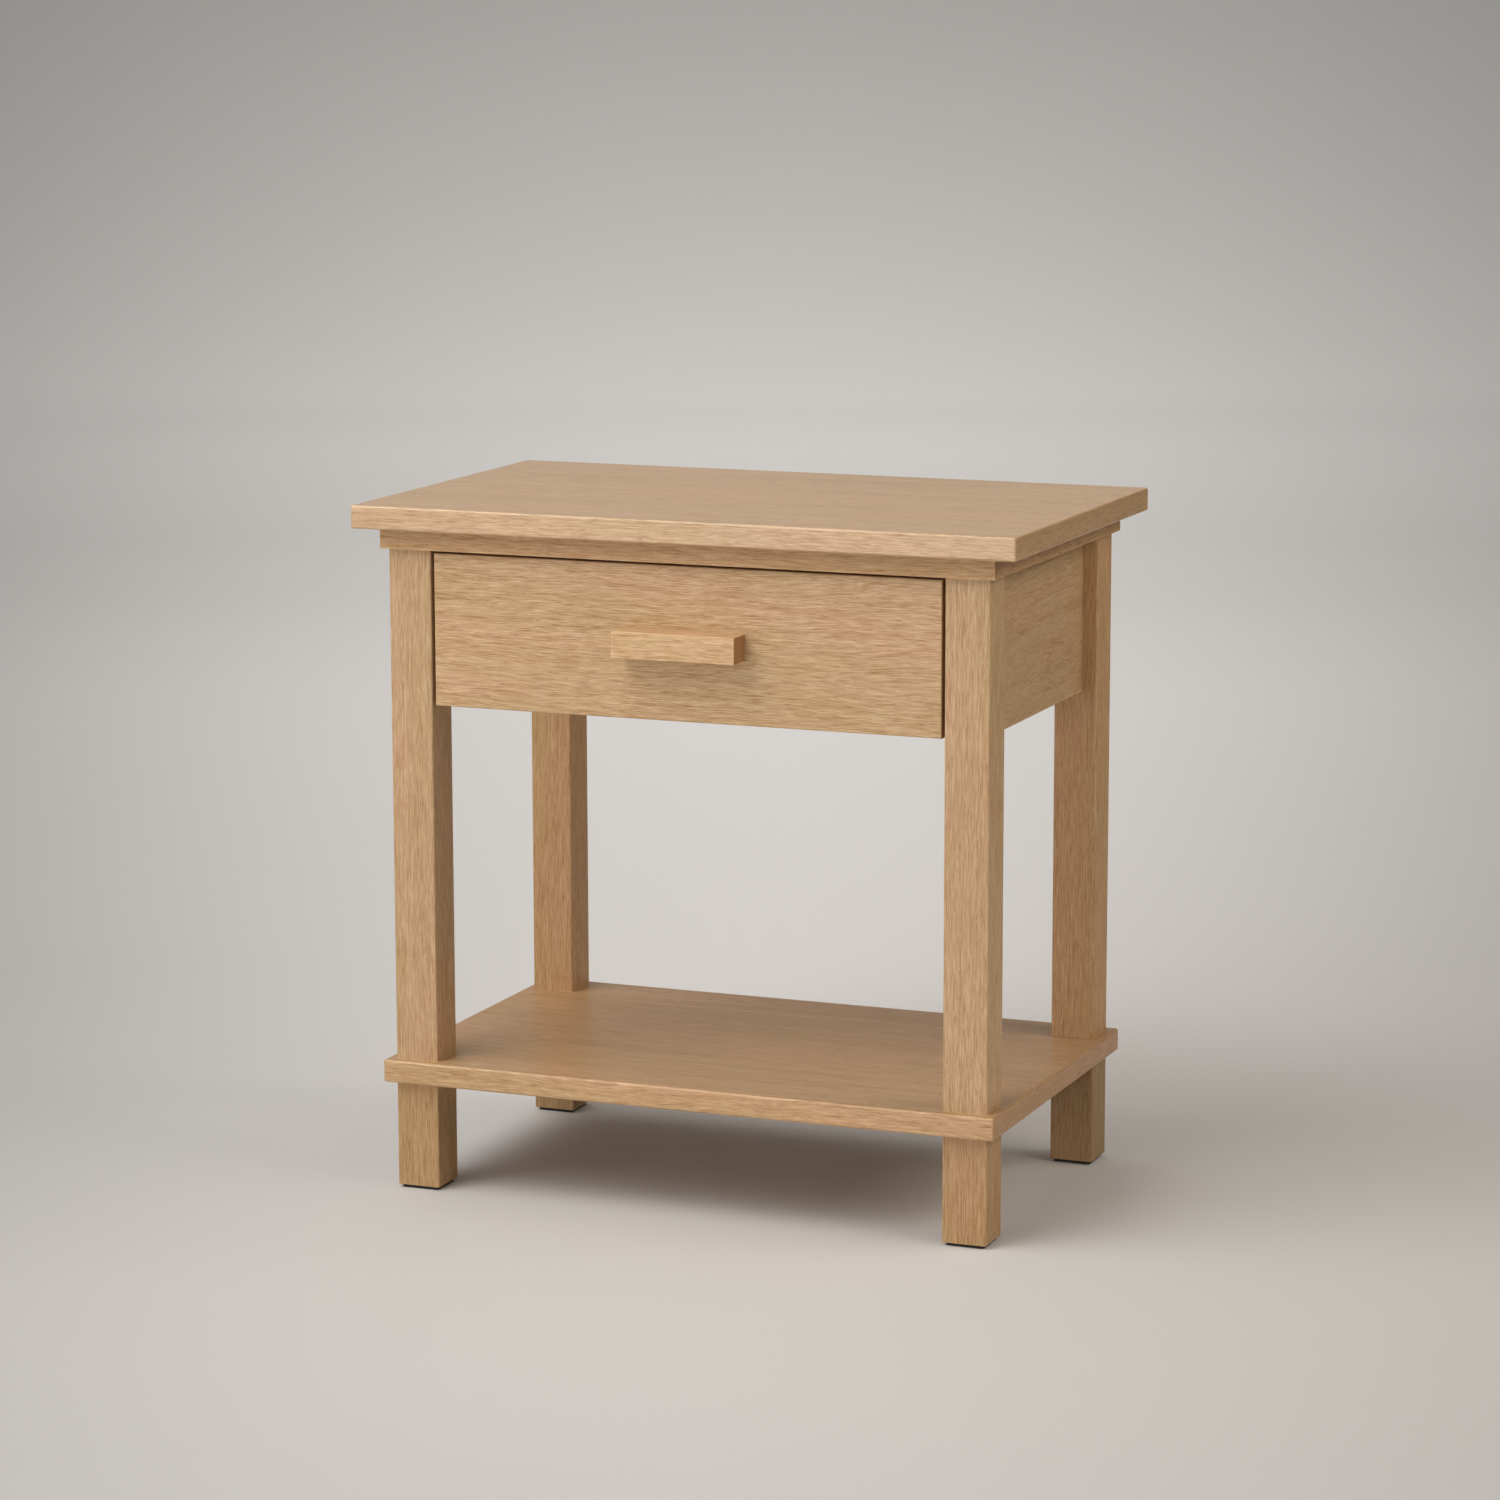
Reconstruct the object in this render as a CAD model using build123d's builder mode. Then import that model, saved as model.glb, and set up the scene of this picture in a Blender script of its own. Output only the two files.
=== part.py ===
from build123d import *
import os

# Side table with one drawer and a low shelf, made of oak boards.
#
# Millimetres, +Z up. The origin is on the floor under the centre of the table top.
# The drawer opens towards -Y. Left is -X and right is +X, as seen from the front.
# Names starting with "half_" are distances from the middle plane of the table.

# ---------------------------------------------------------------- driving dimensions

height = 660
board = 22
top_width = 656
top_depth = 398
top_ease = 2.2

leg = 43
leg_ease = 2.0
case_width = 596
case_depth = 360
foot_height = 102
pad_thickness = 3
pad_inset = 3

shelf_width = 615
shelf_depth = 379
shelf_ease = 2.5

frame_width = 608
frame_depth = 372
frame_thickness = 19
frame_strip = 60
frame_ease = 1.0

panel_thickness = 18
panel_recess = 15
panel_drop = 151
rail_height = 20
rail_depth = 22
rail_gap = 2
rail_rise = 2
cleat_height = 60

front_thickness = 20
front_recess = 1
front_gap = 3
front_drop = 147.5
front_ease = 1.5

pull_width = 122
pull_height = 25
pull_depth = 26
pull_level = 544
pull_ease = 0.8

box_board = 12
box_floor = 494
box_height = 110
box_length = 300
bottom_thickness = 6
bottom_groove = 6
bottom_lift = 10
tail_count = 4
tail_slope = 2

slide_level = 535
slide_width = 12.7
slide_length = 300
sheet = 1.2
rail_half_height = 22.5
ball = 4.0
ball_play = 0.1
ball_pitch = 12
balls_per_row = 11
cage_sheet = 0.5
cage_length = 140
cage_setback = 5
first_ball = 10
travel = 300

fit = 0.05
dowel = 8
dowel_length = 30
dowel_ease = 1.0

# Countersunk screws: shank diameter, length, head diameter
frame_screw = (5, 60, 10)
top_screw = (4, 35, 8)
cleat_screw = (4, 22, 8)
rail_screw = (4, 14, 7.6)
runner_screw = (4, 11.5, 7.6)
front_screw = (4, 28, 8)
pull_screw = (5, 50, 9.5)
pad_screw = (4, 30, 8)

# ---------------------------------------------------------------- derived places

half_case = case_width / 2
half_case_depth = case_depth / 2
half_opening = half_case - leg
half_bay = half_case_depth - leg
half_leg_x = half_case - leg / 2
half_leg_y = half_case_depth - leg / 2

top_underside = height - board
frame_underside = top_underside - frame_thickness
panel_floor = frame_underside - panel_drop
shelf_underside = pad_thickness + foot_height
shelf_level = shelf_underside + board

half_panel = half_case - panel_recess - panel_thickness / 2
back_panel_y = half_case_depth - panel_recess - panel_thickness / 2
cleat_thickness = half_case - panel_recess - panel_thickness - half_opening

front_face = -half_case_depth + front_recess
front_back = front_face + front_thickness
front_floor = frame_underside - front_drop
front_top = frame_underside - front_gap
rail_front = front_back + rail_gap
rail_floor = panel_floor + rail_rise
rail_middle = rail_floor + rail_height / 2

box_half_width = half_opening - slide_width
box_front_inner = front_back + box_board
box_back = front_back + box_length
box_back_inner = box_back - box_board
box_top = box_floor + box_height
bottom_floor = box_floor + bottom_lift

slide_front = rail_front

# Every corner, and the two sides, of the table
sides = {"left": -1, "right": 1}
corners = {
    "front_left": (-1, -1),
    "front_right": (1, -1),
    "back_left": (-1, 1),
    "back_right": (1, 1),
}
below = (Align.CENTER, Align.CENTER, Align.MAX)

os.makedirs("parts", exist_ok=True)


# ---------------------------------------------------------------- shared shapes


def finish(piece, name):
    """Label a finished piece and write its STEP file."""
    piece.part.label = name
    export_step(piece.part, f"parts/{name}.step")


def block(x, y, z, mode=Mode.ADD):
    """A rectangular block in the current part, from (low, high) on each axis."""
    with BuildSketch(Plane.XY.offset(min(z))) as outline:
        with Locations(((x[0] + x[1]) / 2, (y[0] + y[1]) / 2)):
            Rectangle(abs(x[1] - x[0]), abs(y[1] - y[0]))
    extrude(outline.sketch, amount=abs(z[1] - z[0]), mode=mode)


def screws(seats, size, grow=0, mode=Mode.ADD):
    """Countersunk screws in the current part: each head face is on a seat, the shank runs down its -Z."""
    shank, length, head = size
    with Locations(*seats):
        Cylinder(shank / 2 + grow, length + grow, align=below, mode=mode)
        Cone(shank / 2 + grow, head / 2 + grow, (head - shank) / 2, align=below, mode=mode)


def screw_holes(seats, size):
    """The holes that those screws pass through."""
    screws(seats, size, grow=fit, mode=Mode.SUBTRACT)


def dowels(seats, diameter=dowel, length=dowel_length):
    """Dowels in the current part, each centred on a seat and lying along its Z, with eased ends."""
    with Locations(*seats):
        Cylinder(diameter / 2, length)
    chamfer(edges().filter_by(GeomType.CIRCLE), dowel_ease)


def dowel_holes(seats, diameter=dowel, length=dowel_length):
    """The holes for those dowels."""
    with Locations(*seats):
        Cylinder(diameter / 2 + fit, length + 2 * fit, mode=Mode.SUBTRACT)


def facing(point, direction):
    """A seat at a point, whose Z looks along a direction."""
    return Plane(origin=point, z_dir=direction)


# ---------------------------------------------------------------- where the fasteners sit

# Two screws in each leg, one in each strip beside the mitre, and two in each panel. The leg's
# two are placed from its axis, positive outwards.
leg_screw_offsets = ((-8.5, 7.5), (8.5, -8.5))
side_screw_places = (-70, 70)
back_screw_places = (-130, 130)
frame_screw_seats = [
    facing((sx * (half_leg_x + x), sy * (half_leg_y + y), top_underside), (0, 0, 1))
    for sx, sy in corners.values()
    for x, y in leg_screw_offsets
]
frame_screw_seats += [
    facing((sx * half_panel, y, top_underside), (0, 0, 1))
    for sx in sides.values()
    for y in side_screw_places
]
frame_screw_seats += [facing((x, back_panel_y, top_underside), (0, 0, 1)) for x in back_screw_places]

# Screws up through the frame's free inner edge into the top
top_screw_inset = 10
end_screw_places = (-60, 60)
long_screw_places = (-120, 120)
half_screw_x = frame_width / 2 - frame_strip + top_screw_inset
half_screw_y = frame_depth / 2 - frame_strip + top_screw_inset
top_screw_seats = [
    facing((sx * half_screw_x, y, frame_underside), (0, 0, -1))
    for sx in sides.values()
    for y in end_screw_places
]
top_screw_seats += [
    facing((x, sy * half_screw_y, frame_underside), (0, 0, -1))
    for x in long_screw_places
    for sy in (-1, 1)
]

side_dowel_levels = (495, 545, 595)
side_dowel_seats = {
    (sx, sy): [facing((sx * half_panel, sy * half_bay, z), (0, 1, 0)) for z in side_dowel_levels]
    for sx, sy in corners.values()
}
back_dowel_levels = (520, 570)
back_dowel_seats = {
    sx: [facing((sx * half_opening, back_panel_y, z), (1, 0, 0)) for z in back_dowel_levels]
    for sx in sides.values()
}
rail_dowel = 6
rail_dowel_insets = (6, 16)
rail_dowel_seats = {
    sx: [
        facing((sx * half_opening, rail_front + y, rail_middle), (1, 0, 0)) for y in rail_dowel_insets
    ]
    for sx in sides.values()
}

stud_length = 90
stud_seats = {
    corner: facing((corner[0] * half_leg_x, corner[1] * half_leg_y, shelf_level - board / 2), (0, 0, 1))
    for corner in corners.values()
}

pad_screw_recess = 1
pad_screw_seats = {
    corner: facing((corner[0] * half_leg_x, corner[1] * half_leg_y, pad_screw_recess), (0, 0, -1))
    for corner in corners.values()
}

cleat_screw_places = (-80, 60)
cleat_screw_seats = {
    sx: [facing((sx * half_opening, y, slide_level), (-sx, 0, 0)) for y in cleat_screw_places]
    for sx in sides.values()
}
rail_screw_places = (-147, -10, 120)
rail_screw_seats = {
    sx: [facing((sx * (half_opening - sheet), y, slide_level), (-sx, 0, 0)) for y in rail_screw_places]
    for sx in sides.values()
}
runner_screw_places = (-130, -10, 110)
runner_screw_seats = {
    sx: [facing((sx * (box_half_width + sheet), y, slide_level), (sx, 0, 0)) for y in runner_screw_places]
    for sx in sides.values()
}

front_screw_places = (-190, 190)
front_screw_levels = (522, 582)
front_screw_seats = [
    facing((x, box_front_inner, z), (0, 1, 0)) for x in front_screw_places for z in front_screw_levels
]
pull_screw_places = (-40, 40)
pull_screw_seats = [facing((x, box_front_inner, pull_level), (0, 1, 0)) for x in pull_screw_places]

# A lens-shaped biscuit in each mitre of the frame, halfway along it
biscuit_length = 47
biscuit_width = 15
biscuit_thickness = 4
half_mitre_x = (frame_width - frame_strip) / 2
half_mitre_y = (frame_depth - frame_strip) / 2
biscuit_floor = frame_underside + (frame_thickness - biscuit_thickness) / 2
biscuit_planes = [
    Plane(
        origin=(sx * half_mitre_x, sy * half_mitre_y, biscuit_floor),
        x_dir=(sx, sy, 0),
        z_dir=(0, 0, 1),
    )
    for sx, sy in corners.values()
]


def biscuits(grow=0, mode=Mode.ADD):
    """Lens-shaped biscuits lying along the four mitres."""
    half = biscuit_length / 2 + grow
    rise = biscuit_width / 2 + grow
    for plane in biscuit_planes:
        with BuildSketch(plane.offset(-grow)) as lens:
            with BuildLine():
                ThreePointArc((-half, 0), (0, rise), (half, 0))
                ThreePointArc((half, 0), (0, -rise), (-half, 0))
            make_face()
        extrude(lens.sketch, amount=biscuit_thickness + 2 * grow, mode=mode)


# ---------------------------------------------------------------- top and its frame


def make_table_top():
    """The board on top, with all its edges eased."""
    with BuildPart() as table_top:
        with BuildSketch(Plane.XY.offset(top_underside)):
            Rectangle(top_width, top_depth)
        extrude(amount=board)
        fillet(table_top.edges(), top_ease)
        screw_holes(top_screw_seats, top_screw)
    finish(table_top, "table_top")


def make_frame_strips():
    """Four strips with mitred ends, set back under the top's edge."""
    outer_x = frame_width / 2
    outer_y = frame_depth / 2
    inner_x = outer_x - frame_strip
    inner_y = outer_y - frame_strip
    long_strip = ((-outer_x, outer_y), (outer_x, outer_y), (inner_x, inner_y), (-inner_x, inner_y))
    short_strip = ((outer_x, outer_y), (outer_x, -outer_y), (inner_x, -inner_y), (inner_x, inner_y))
    outlines = {
        "back": (long_strip, 1),
        "front": (long_strip, -1),
        "right": (short_strip, 1),
        "left": (short_strip, -1),
    }
    for name, (corner_points, sign) in outlines.items():
        with BuildPart() as strip:
            with BuildSketch(Plane.XY.offset(frame_underside)):
                with BuildLine():
                    Polyline([(sign * x, sign * y) for x, y in corner_points], close=True)
                make_face()
            extrude(amount=frame_thickness)
            outer = strip.faces().sort_by(lambda face: Vector(*face.center()).length)[-1]
            fillet(outer.edges().filter_by(Axis.Z, reverse=True), frame_ease)
            screw_holes(frame_screw_seats, frame_screw)
            screw_holes(top_screw_seats, top_screw)
            biscuits(grow=fit, mode=Mode.SUBTRACT)
        finish(strip, f"top_frame_{name}")


# ---------------------------------------------------------------- legs, feet, shelf


def make_leg(name, sx, sy):
    """A square leg from the shelf up to the frame."""
    with BuildPart() as post:
        with BuildSketch(Plane.XY.offset(shelf_level)):
            with Locations((sx * half_leg_x, sy * half_leg_y)):
                Rectangle(leg, leg)
        extrude(amount=frame_underside - shelf_level)
        fillet(post.edges().filter_by(Axis.Z), leg_ease)
        screw_holes(frame_screw_seats, frame_screw)
        dowel_holes(side_dowel_seats[sx, sy])
        dowel_holes([stud_seats[sx, sy]], length=stud_length)
        if sy > 0:
            dowel_holes(back_dowel_seats[sx])
        else:
            dowel_holes(rail_dowel_seats[sx], rail_dowel)
            screw_holes(rail_screw_seats[sx], rail_screw)
    finish(post, f"leg_{name}")


def make_foot(name, sx, sy):
    """The block under the shelf that carries on the line of a leg."""
    with BuildPart() as foot:
        with BuildSketch(Plane.XY.offset(pad_thickness)):
            with Locations((sx * half_leg_x, sy * half_leg_y)):
                Rectangle(leg, leg)
        extrude(amount=foot_height)
        fillet(foot.edges().filter_by(Axis.Z), leg_ease)
        fillet(foot.faces().sort_by(Axis.Z)[0].edges(), leg_ease / 2)
        dowel_holes([stud_seats[sx, sy]], length=stud_length)
        screw_holes([pad_screw_seats[sx, sy]], pad_screw)
    finish(foot, f"foot_{name}")


def make_pad(name, sx, sy):
    """A thin pad under a foot, with a pocket that keeps its screw off the floor."""
    with BuildPart() as pad:
        with BuildSketch():
            with Locations((sx * half_leg_x, sy * half_leg_y)):
                RectangleRounded(leg - 2 * pad_inset, leg - 2 * pad_inset, leg_ease)
                Circle(pad_screw[2] / 2 + fit, mode=Mode.SUBTRACT)
        extrude(amount=pad_screw_recess)
        with BuildSketch(Plane.XY.offset(pad_screw_recess)):
            with Locations((sx * half_leg_x, sy * half_leg_y)):
                RectangleRounded(leg - 2 * pad_inset, leg - 2 * pad_inset, leg_ease)
        extrude(amount=pad_thickness - pad_screw_recess)
        screw_holes([pad_screw_seats[sx, sy]], pad_screw)
    finish(pad, f"foot_pad_{name}")


def make_shelf():
    """The low shelf, held between the legs and the foot blocks."""
    with BuildPart() as shelf:
        with BuildSketch(Plane.XY.offset(shelf_underside)):
            Rectangle(shelf_width, shelf_depth)
        extrude(amount=board)
        fillet(shelf.edges(), shelf_ease)
        dowel_holes(stud_seats.values(), length=stud_length)
    finish(shelf, "shelf")


# ---------------------------------------------------------------- case panels


def make_side_panel(name, sx):
    """A panel between two legs, set back from their outer faces."""
    with BuildPart() as panel:
        with BuildSketch(Plane.XY.offset(panel_floor)):
            with Locations((sx * half_panel, 0)):
                Rectangle(panel_thickness, 2 * half_bay)
        extrude(amount=panel_drop)
        fillet(panel.faces().sort_by(Axis.Z)[0].edges().filter_by(Axis.Y), frame_ease)
        screw_holes(frame_screw_seats, frame_screw)
        dowel_holes(side_dowel_seats[sx, -1] + side_dowel_seats[sx, 1])
        screw_holes(cleat_screw_seats[sx], cleat_screw)
        screw_holes(rail_screw_seats[sx], rail_screw)
    finish(panel, f"side_panel_{name}")


def make_back_panel():
    """The panel between the back legs."""
    with BuildPart() as back_panel:
        with BuildSketch(Plane.XY.offset(panel_floor)):
            with Locations((0, back_panel_y)):
                Rectangle(2 * half_opening, panel_thickness)
        extrude(amount=panel_drop)
        fillet(back_panel.faces().sort_by(Axis.Z)[0].edges().filter_by(Axis.X), frame_ease)
        screw_holes(frame_screw_seats, frame_screw)
        dowel_holes(back_dowel_seats[-1] + back_dowel_seats[1])
    finish(back_panel, "back_panel")


def make_front_rail():
    """The rail between the front legs, behind the lower edge of the drawer front."""
    with BuildPart() as front_rail:
        block(
            (-half_opening, half_opening),
            (rail_front, rail_front + rail_depth),
            (rail_floor, rail_floor + rail_height),
        )
        fillet(front_rail.edges().filter_by(Axis.X), frame_ease)
        dowel_holes(rail_dowel_seats[-1] + rail_dowel_seats[1], rail_dowel)
    finish(front_rail, "front_rail")


def make_cleat(name, sx):
    """A packing strip that brings the slide level with the legs' inner faces."""
    with BuildPart() as cleat:
        block(
            (sx * half_opening, sx * (half_opening + cleat_thickness)),
            (-half_bay, half_bay),
            (slide_level - cleat_height / 2, slide_level + cleat_height / 2),
        )
        screw_holes(cleat_screw_seats[sx], cleat_screw)
        screw_holes(rail_screw_seats[sx], rail_screw)
    finish(cleat, f"slide_cleat_{name}")


# ---------------------------------------------------------------- drawer slides
#
# A slide's section is drawn in u and w: u is the distance from the leg's inner face
# towards the drawer, w the height above the middle of the slide.

rail_inner_half = rail_half_height - sheet
middle_half = rail_inner_half - ball - 2 * ball_play
middle_inner_half = middle_half - sheet
runner_half = middle_inner_half - ball - 2 * ball_play
rail_flange_end = 9.4
middle_web = 2.6
middle_flange_end = 10.6
runner_flange_end = 5.2
outer_ball_u = 5.4
inner_ball_u = 8.0
outer_ball_w = (rail_inner_half + middle_half) / 2
inner_ball_w = (middle_inner_half + runner_half) / 2
outer_cage_u = 1.65
inner_cage_u = 4.3
cage_lip = 2.35


def section_plane(sx):
    """The plane across the front end of a slide: its X is u and its Y is w."""
    return Plane(
        origin=(sx * half_opening, slide_front, slide_level),
        x_dir=(-sx, 0, 0),
        z_dir=(0, sx, 0),
    )


def channel(sx, web_u, flange_end, half, thickness):
    """A straight U-shaped sheet channel as long as the slide, in the current part."""
    web_side = web_u + thickness if flange_end > web_u else web_u - thickness
    with BuildSketch(section_plane(sx)) as section:
        with BuildLine():
            Polyline(
                (flange_end, half),
                (web_u, half),
                (web_u, -half),
                (flange_end, -half),
                (flange_end, thickness - half),
                (web_side, thickness - half),
                (web_side, half - thickness),
                (flange_end, half - thickness),
                close=True,
            )
        make_face()
    extrude(section.sketch, amount=sx * slide_length)


def make_slide(name, sx):
    """The three nested members of one drawer slide."""
    with BuildPart() as rail:
        channel(sx, 0, rail_flange_end, rail_half_height, sheet)
        screw_holes(rail_screw_seats[sx], rail_screw)
    finish(rail, f"slide_rail_{name}")

    with BuildPart() as middle:
        channel(sx, middle_web, middle_flange_end, middle_half, sheet)
    finish(middle, f"slide_middle_{name}")

    with BuildPart() as runner:
        channel(sx, slide_width, runner_flange_end, runner_half, sheet)
        screw_holes(runner_screw_seats[sx], runner_screw)
    finish(runner, f"slide_runner_{name}")


def make_cage(label, sx, cage_u, ball_u, ball_w):
    """A bent strip with two rows of balls in its holes."""
    cage_start = travel / 4 + cage_setback
    half = ball_w + cage_sheet / 2
    plane = section_plane(sx)
    rows = [
        plane.from_local_coords((ball_u, w, sx * (cage_start + first_ball + ball_pitch * i)))
        for w in (-ball_w, ball_w)
        for i in range(balls_per_row)
    ]
    with BuildPart() as cage:
        with BuildSketch(plane.offset(sx * cage_start)) as section:
            with BuildLine():
                Polyline(
                    (ball_u + cage_lip, half),
                    (cage_u, half),
                    (cage_u, -half),
                    (ball_u + cage_lip, -half),
                    (ball_u + cage_lip, cage_sheet - half),
                    (cage_u + cage_sheet, cage_sheet - half),
                    (cage_u + cage_sheet, half - cage_sheet),
                    (ball_u + cage_lip, half - cage_sheet),
                    close=True,
                )
            make_face()
        extrude(section.sketch, amount=sx * cage_length)
        with Locations(*rows):
            Cylinder(ball / 2 + fit, 2 * cage_sheet, mode=Mode.SUBTRACT)
            Sphere(ball / 2)
    finish(cage, label)


# ---------------------------------------------------------------- drawer


def tails(sx, back, grow=0, mode=Mode.ADD):
    """Dovetail tails on one end of a drawer side: wider at their tips than at their roots."""
    root = box_back_inner if back else box_front_inner
    tip = box_back if back else front_back
    pitch = box_height / tail_count
    narrow = pitch / 2 + grow
    wide = narrow + tail_slope
    outer = sx * box_half_width
    with BuildSketch(Plane.YZ.offset(min(outer, outer - sx * box_board))) as profile:
        with BuildLine():
            for i in range(tail_count):
                middle = box_floor + pitch * (i + 0.5)
                Polyline(
                    (root, middle - narrow / 2),
                    (tip, middle - wide / 2),
                    (tip, middle + wide / 2),
                    (root, middle + narrow / 2),
                    close=True,
                )
        make_face()
    extrude(profile.sketch, amount=box_board, mode=mode)


def bottom_space(grow=0, mode=Mode.ADD):
    """The space that the drawer bottom fills, with its edges in the grooves."""
    reach = bottom_groove + grow
    inner = box_half_width - box_board + reach
    block(
        (-inner, inner),
        (box_front_inner - reach, box_back_inner + reach),
        (bottom_floor - grow, bottom_floor + bottom_thickness + grow),
        mode,
    )


def make_drawer_front():
    """The show front, set between the front legs with an even gap."""
    half_width = half_opening - front_gap
    with BuildPart() as drawer_front:
        with BuildSketch(Plane.XY.offset(front_floor)):
            with Locations((0, (front_face + front_back) / 2)):
                Rectangle(2 * half_width, front_thickness)
        extrude(amount=front_top - front_floor)
        fillet(drawer_front.faces().sort_by(Axis.Y)[0].edges(), front_ease)
        screw_holes(front_screw_seats, front_screw)
        screw_holes(pull_screw_seats, pull_screw)
    finish(drawer_front, "drawer_front")


def make_drawer_pull():
    """The solid bar glued and screwed to the middle of the drawer front."""
    with BuildPart() as drawer_pull:
        block(
            (-pull_width / 2, pull_width / 2),
            (front_face - pull_depth, front_face),
            (pull_level - pull_height / 2, pull_level + pull_height / 2),
        )
        outer = drawer_pull.faces().sort_by(Axis.Y)[0]
        fillet(outer.edges() + drawer_pull.edges().filter_by(Axis.Y), pull_ease)
        screw_holes(pull_screw_seats, pull_screw)
    finish(drawer_pull, "drawer_pull")


def make_box_end(name, near, far, is_back):
    """The front or back board of the drawer box, with sockets for the tails."""
    with BuildPart() as end:
        block((-box_half_width, box_half_width), (near, far), (box_floor, box_top))
        for sx in sides.values():
            tails(sx, is_back, grow=2 * fit, mode=Mode.SUBTRACT)
        bottom_space(grow=2 * fit, mode=Mode.SUBTRACT)
        if not is_back:
            screw_holes(front_screw_seats, front_screw)
            screw_holes(pull_screw_seats, pull_screw)
    finish(end, name)


def make_drawer_side(name, sx):
    """A side of the drawer box, with tails on both ends and a groove for the bottom."""
    outer = sx * box_half_width
    with BuildPart() as side:
        block((outer - sx * box_board, outer), (box_front_inner, box_back_inner), (box_floor, box_top))
        tails(sx, back=False)
        tails(sx, back=True)
        bottom_space(grow=2 * fit, mode=Mode.SUBTRACT)
        screw_holes(runner_screw_seats[sx], runner_screw)
    finish(side, f"drawer_side_{name}")


def make_drawer_bottom():
    """The thin panel held in the grooves of the box."""
    with BuildPart() as drawer_bottom:
        bottom_space()
    finish(drawer_bottom, "drawer_bottom")


# ---------------------------------------------------------------- fasteners, one node a kind


def every(seats_by_place):
    """All the seats of a kind, over every side or corner."""
    return [seat for seats in seats_by_place.values() for seat in seats]


def make_fasteners():
    """Screws, dowels, studs and biscuits: those of one kind are separate solids in one node."""
    screw_kinds = {
        "frame_screws": (frame_screw_seats, frame_screw),
        "top_screws": (top_screw_seats, top_screw),
        "cleat_screws": (every(cleat_screw_seats), cleat_screw),
        "slide_rail_screws": (every(rail_screw_seats), rail_screw),
        "slide_runner_screws": (every(runner_screw_seats), runner_screw),
        "drawer_front_screws": (front_screw_seats, front_screw),
        "pull_screws": (pull_screw_seats, pull_screw),
        "pad_screws": (pad_screw_seats.values(), pad_screw),
    }
    for name, (seats, size) in screw_kinds.items():
        with BuildPart() as fasteners:
            screws(seats, size)
        finish(fasteners, name)

    dowel_kinds = {
        "side_panel_dowels": (every(side_dowel_seats), dowel, dowel_length),
        "back_panel_dowels": (every(back_dowel_seats), dowel, dowel_length),
        "front_rail_dowels": (every(rail_dowel_seats), rail_dowel, dowel_length),
        "leg_studs": (stud_seats.values(), dowel, stud_length),
    }
    for name, (seats, diameter, length) in dowel_kinds.items():
        with BuildPart() as fasteners:
            dowels(seats, diameter, length)
        finish(fasteners, name)

    with BuildPart() as mitre_biscuits:
        biscuits()
    finish(mitre_biscuits, "mitre_biscuits")


make_table_top()
make_frame_strips()
for corner_name, (side_x, side_y) in corners.items():
    make_leg(corner_name, side_x, side_y)
    make_foot(corner_name, side_x, side_y)
    make_pad(corner_name, side_x, side_y)
make_shelf()
make_back_panel()
make_front_rail()
for side_name, side_x in sides.items():
    make_side_panel(side_name, side_x)
    make_cleat(side_name, side_x)
    make_slide(side_name, side_x)
    make_cage(f"slide_cage_outer_{side_name}", side_x, outer_cage_u, outer_ball_u, outer_ball_w)
    make_cage(f"slide_cage_inner_{side_name}", side_x, inner_cage_u, inner_ball_u, inner_ball_w)
    make_drawer_side(side_name, side_x)
make_drawer_front()
make_drawer_pull()
make_box_end("drawer_box_front", front_back, box_front_inner, is_back=False)
make_box_end("drawer_box_back", box_back_inner, box_back, is_back=True)
make_drawer_bottom()
make_fasteners()
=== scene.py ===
import math

import bpy
from mathutils import Matrix, Vector


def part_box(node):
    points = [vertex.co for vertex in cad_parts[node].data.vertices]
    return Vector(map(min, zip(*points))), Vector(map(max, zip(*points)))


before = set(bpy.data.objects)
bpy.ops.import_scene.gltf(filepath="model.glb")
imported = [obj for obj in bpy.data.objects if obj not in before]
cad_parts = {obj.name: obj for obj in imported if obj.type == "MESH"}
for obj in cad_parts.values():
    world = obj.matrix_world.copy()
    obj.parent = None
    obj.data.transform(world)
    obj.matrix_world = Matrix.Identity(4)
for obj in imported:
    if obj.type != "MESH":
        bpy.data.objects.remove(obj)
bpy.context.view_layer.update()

# Looks of the side table: oak boards with a satin finish, zinc-plated drawer slides, dark pads.
# Metres, in the frame of the CAD model: +Z up, the drawer opens towards -Y.

MM = 0.001

# ---------------------------------------------------------------- camera, floor and light

CAMERA_PLACE = (1.6368, -4.0967, 1.2009)
CAMERA_YAW = 21.845
CAMERA_PITCH = 10.093
CAMERA_ROLL = -0.114
CAMERA_LENS = 112.35
SENSOR = 36.0

FLOOR_RADIUS = 7.0
COVE_RADIUS = 2.5
WALL_HEIGHT = 6.0
FLOOR_RINGS = 4
COVE_RINGS = 24
FLOOR_SEGMENTS = 96

LIGHT_COLOUR = (1.0, 0.985, 0.965)
WARM_COLOUR = (1.0, 0.91, 0.78)
LIGHT_WIDTH = 2.4
LIGHT_DISTANCE = 3.4
DOME_MIDDLE = Vector((0, 0, 0.35))
WORLD_STRENGTH = 0.03

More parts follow.
